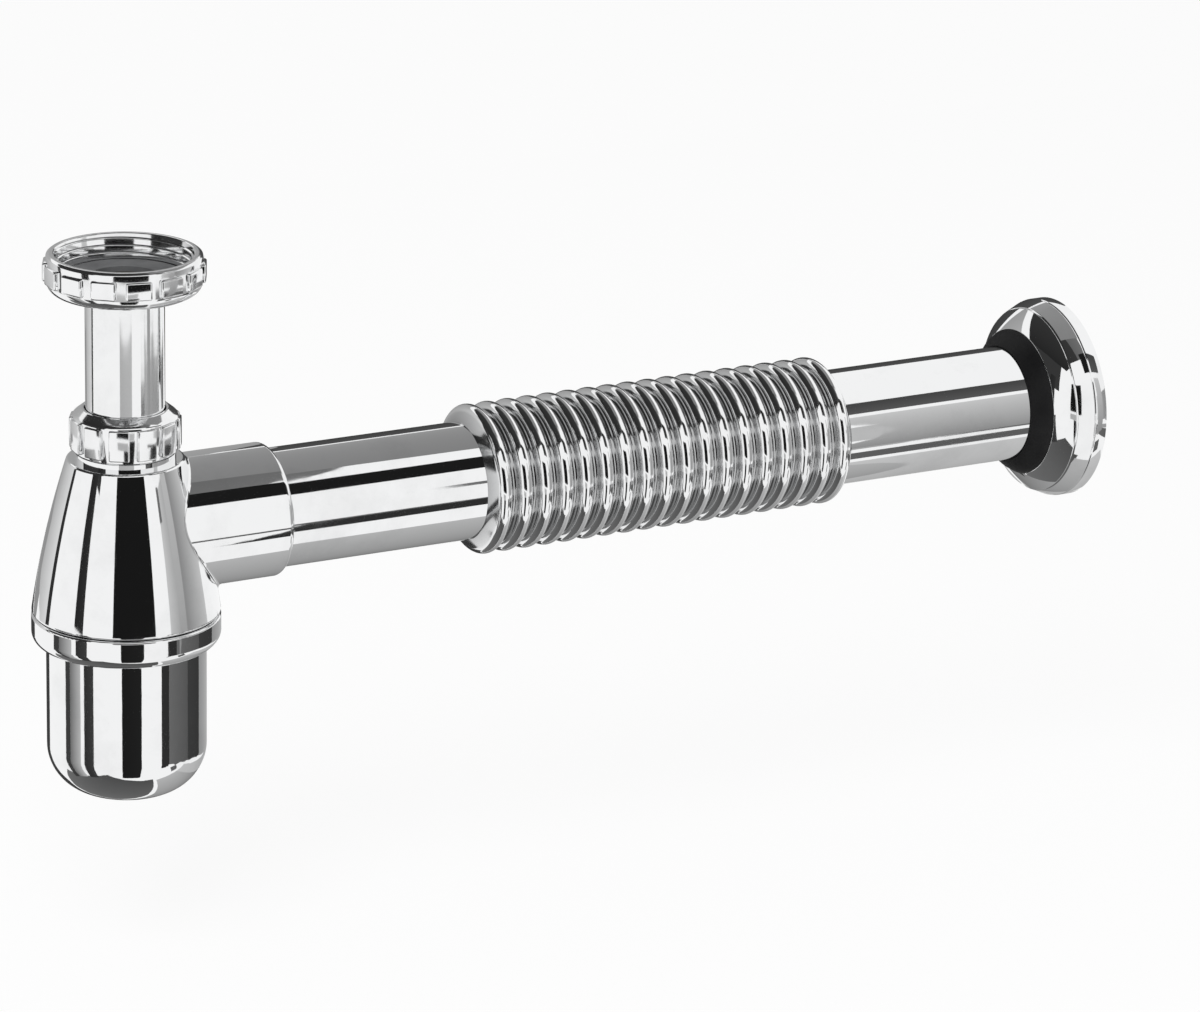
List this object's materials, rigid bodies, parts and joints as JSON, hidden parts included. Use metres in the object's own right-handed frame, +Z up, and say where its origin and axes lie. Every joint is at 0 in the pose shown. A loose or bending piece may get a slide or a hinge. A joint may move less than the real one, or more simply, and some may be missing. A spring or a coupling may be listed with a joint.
{
  "type": "flexible bottle trap",
  "caption": "Chromed bottle trap for a basin: union nut, dip tube, cone body, screw-off cup, corrugated outlet pipe that bends and stretches, and a sliding wall flange.",
  "frame": {"origin": "centre of the seat on top of the inlet washer, on the inlet's axis", "axes": "+Z up along the inlet towards the basin, +X along the outlet pipe towards the wall"},
  "size_m": [0.3874, 0.07, 0.1842],
  "materials": {
    "chrome": "polished plate",
    "black_rubber": "satin",
    "grey_rubber": "satin",
    "nylon": "smooth"
  },
  "bodies": {
    "inlet_nut": {"inlet_nut": "chrome"},
    "inlet_tail": {"inlet_tube": "chrome", "inlet_washer": "grey_rubber"},
    "neck_seal": {"neck_seal": "black_rubber"},
    "trap_body": {"trap_body": "chrome", "outlet_pipe": "chrome", "bellows_near": "chrome"},
    "neck_slip_ring": {"neck_slip_ring": "nylon"},
    "neck_nut": {"neck_nut": "chrome"},
    "cup_gasket": {"cup_gasket": "black_rubber"},
    "cup": {"cup": "chrome"},
    "side_bend": {"bellows_middle": "chrome"},
    "up_bend": {"bellows_far": "chrome"},
    "tail_pipe": {"tail_pipe": "chrome"},
    "wall_flange": {"wall_flange": "chrome", "flange_seal": "black_rubber"}
  },
  "joints": [
    {"name": "inlet_swivel", "type": "hinge", "parent": "inlet_nut", "child": "inlet_tail", "pos_m": [0, 0, 0], "axis": [0, 0, 1], "continuous": true},
    {"name": "height_slide", "type": "slide", "parent": "inlet_tail", "child": "neck_seal", "axis": [0, 0, 1], "range_m": [-0.02, 0.014]},
    {"name": "trap_swivel", "type": "hinge", "parent": "neck_seal", "child": "trap_body", "pos_m": [0, 0, -0.086], "axis": [0, 0, 1], "continuous": true},
    {"name": "neck_nut_rise", "type": "slide", "parent": "trap_body", "child": "neck_slip_ring", "axis": [0, 0, 1], "range_m": [0, 0.007]},
    {"name": "neck_nut_turn", "type": "hinge", "parent": "neck_slip_ring", "child": "neck_nut", "pos_m": [0, 0, -0.052], "axis": [0, 0, 1], "range_deg": [0, 1260]},
    {"name": "cup_drop", "type": "slide", "parent": "trap_body", "child": "cup_gasket", "axis": [0, 0, -1], "range_m": [0, 0.005]},
    {"name": "cup_turn", "type": "hinge", "parent": "cup_gasket", "child": "cup", "pos_m": [0, 0, -0.12], "axis": [0, 0, -1], "range_deg": [0, 900]},
    {"name": "pipe_bend_sideways", "type": "hinge", "parent": "trap_body", "child": "side_bend", "pos_m": [0.1465, 0, -0.086], "axis": [0, 0, 1], "range_deg": [-35, 35], "deforming": ["bellows_near"]},
    {"name": "pipe_bend_up", "type": "hinge", "parent": "side_bend", "child": "up_bend", "pos_m": [0.1924, 0, -0.086], "axis": [0, -1, 0], "range_deg": [-35, 35], "deforming": ["bellows_middle"]},
    {"name": "pipe_stretch", "type": "slide", "parent": "up_bend", "child": "tail_pipe", "axis": [1, 0, 0], "range_m": [-0.008, 0.03], "deforming": ["bellows_far"]},
    {"name": "flange_slide", "type": "slide", "parent": "tail_pipe", "child": "wall_flange", "axis": [-1, 0, 0], "range_m": [0, 0.065]}
  ],
  "couplings": [
    {"joint": "neck_nut_rise", "follows": "neck_nut_turn", "m_per_rad": 0.00031831},
    {"joint": "cup_drop", "follows": "cup_turn", "m_per_rad": 0.00031831}
  ]
}
